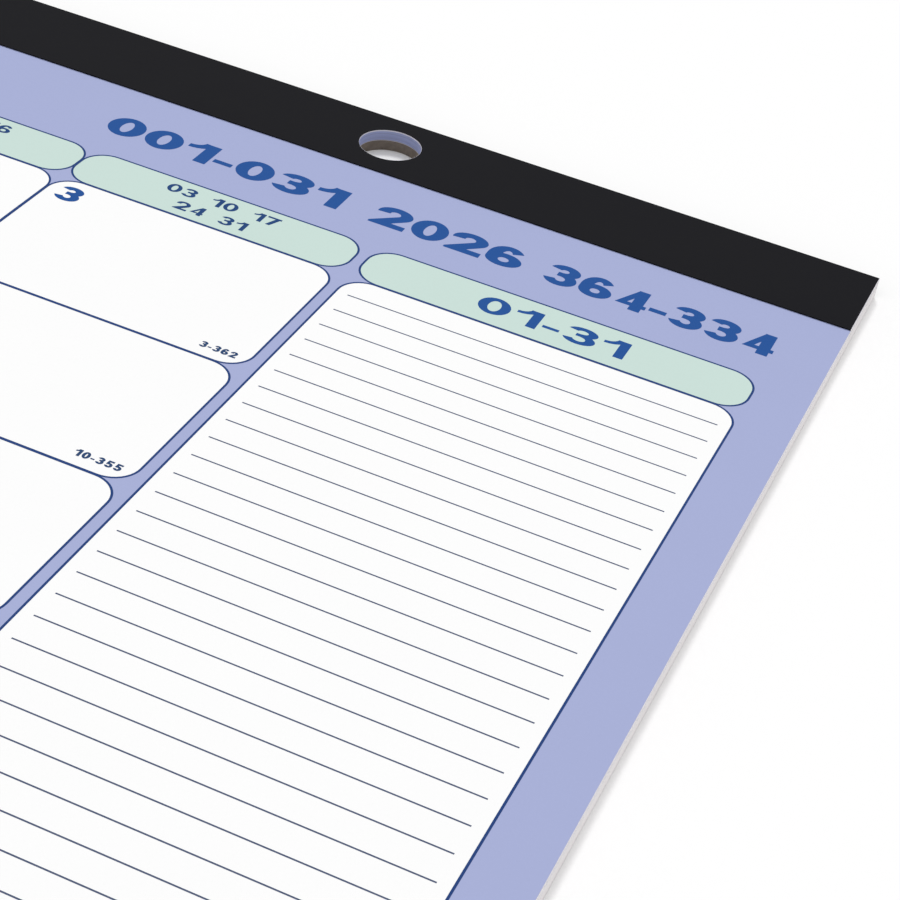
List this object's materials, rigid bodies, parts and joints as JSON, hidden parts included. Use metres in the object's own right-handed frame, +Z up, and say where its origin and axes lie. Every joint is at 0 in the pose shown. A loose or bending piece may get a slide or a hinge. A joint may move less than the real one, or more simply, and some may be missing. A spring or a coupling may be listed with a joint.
{
  "type": "desk pad calendar",
  "caption": "Large month-per-sheet desk pad on a stiff board, with tear-off leaves hinged under a flat binding strip and two hanging holes.",
  "frame": {"origin": "centre of the pad's outline at the underside of the backing board", "axes": "+X across the pad to the notes side, +Y towards the bound edge, +Z up from the desk"},
  "size_m": [0.5588, 0.4318, 0.005],
  "materials": {
    "chipboard": "matte grey-brown chipboard",
    "strip": "matte black binding tape",
    "glue": "dried padding glue",
    "paper": "uncoated paper printed in pale lilac"
  },
  "bodies": {
    "pad": {"backing_board": "chipboard", "binding_strip": "strip", "padding_glue": "glue", "stub_01": "paper", "stub_02": "paper", "stub_03": "paper", "stub_04": "paper", "stub_05": "paper", "stub_06": "paper", "stub_07": "paper", "stub_08": "paper", "stub_09": "paper", "stub_10": "paper", "stub_11": "paper", "stub_12": "paper"},
    "leaf_01": {"leaf_01": "paper"},
    "leaf_02": {"leaf_02": "paper"},
    "leaf_03": {"leaf_03": "paper"},
    "leaf_04": {"leaf_04": "paper"},
    "leaf_05": {"leaf_05": "paper"},
    "leaf_06": {"leaf_06": "paper"},
    "leaf_07": {"leaf_07": "paper"},
    "leaf_08": {"leaf_08": "paper"},
    "leaf_09": {"leaf_09": "paper"},
    "leaf_10": {"leaf_10": "paper"},
    "leaf_11": {"leaf_11": "paper"},
    "leaf_12": {"leaf_12": "paper"}
  },
  "joints": [
    {"name": "turn_01", "type": "hinge", "parent": "leaf_02", "child": "leaf_01", "pos_m": [0, 0.1905, 0.00496], "axis": [-1, 0, 0], "range_deg": [0, 130]},
    {"name": "turn_02", "type": "hinge", "parent": "leaf_03", "child": "leaf_02", "pos_m": [0, 0.1905, 0.00496], "axis": [-1, 0, 0], "range_deg": [0, 4]},
    {"name": "turn_03", "type": "hinge", "parent": "leaf_04", "child": "leaf_03", "pos_m": [0, 0.1905, 0.00496], "axis": [-1, 0, 0], "range_deg": [0, 4]},
    {"name": "turn_04", "type": "hinge", "parent": "leaf_05", "child": "leaf_04", "pos_m": [0, 0.1905, 0.00496], "axis": [-1, 0, 0], "range_deg": [0, 4]},
    {"name": "turn_05", "type": "hinge", "parent": "leaf_06", "child": "leaf_05", "pos_m": [0, 0.1905, 0.00496], "axis": [-1, 0, 0], "range_deg": [0, 4]},
    {"name": "turn_06", "type": "hinge", "parent": "leaf_07", "child": "leaf_06", "pos_m": [0, 0.1905, 0.00496], "axis": [-1, 0, 0], "range_deg": [0, 4]},
    {"name": "turn_07", "type": "hinge", "parent": "leaf_08", "child": "leaf_07", "pos_m": [0, 0.1905, 0.00496], "axis": [-1, 0, 0], "range_deg": [0, 4]},
    {"name": "turn_08", "type": "hinge", "parent": "leaf_09", "child": "leaf_08", "pos_m": [0, 0.1905, 0.00496], "axis": [-1, 0, 0], "range_deg": [0, 4]},
    {"name": "turn_09", "type": "hinge", "parent": "leaf_10", "child": "leaf_09", "pos_m": [0, 0.1905, 0.00496], "axis": [-1, 0, 0], "range_deg": [0, 4]},
    {"name": "turn_10", "type": "hinge", "parent": "leaf_11", "child": "leaf_10", "pos_m": [0, 0.1905, 0.00496], "axis": [-1, 0, 0], "range_deg": [0, 4]},
    {"name": "turn_11", "type": "hinge", "parent": "leaf_12", "child": "leaf_11", "pos_m": [0, 0.1905, 0.00496], "axis": [-1, 0, 0], "range_deg": [0, 4]},
    {"name": "turn_12", "type": "hinge", "parent": "pad", "child": "leaf_12", "pos_m": [0, 0.1905, 0.00496], "axis": [-1, 0, 0], "range_deg": [0, 4]}
  ]
}
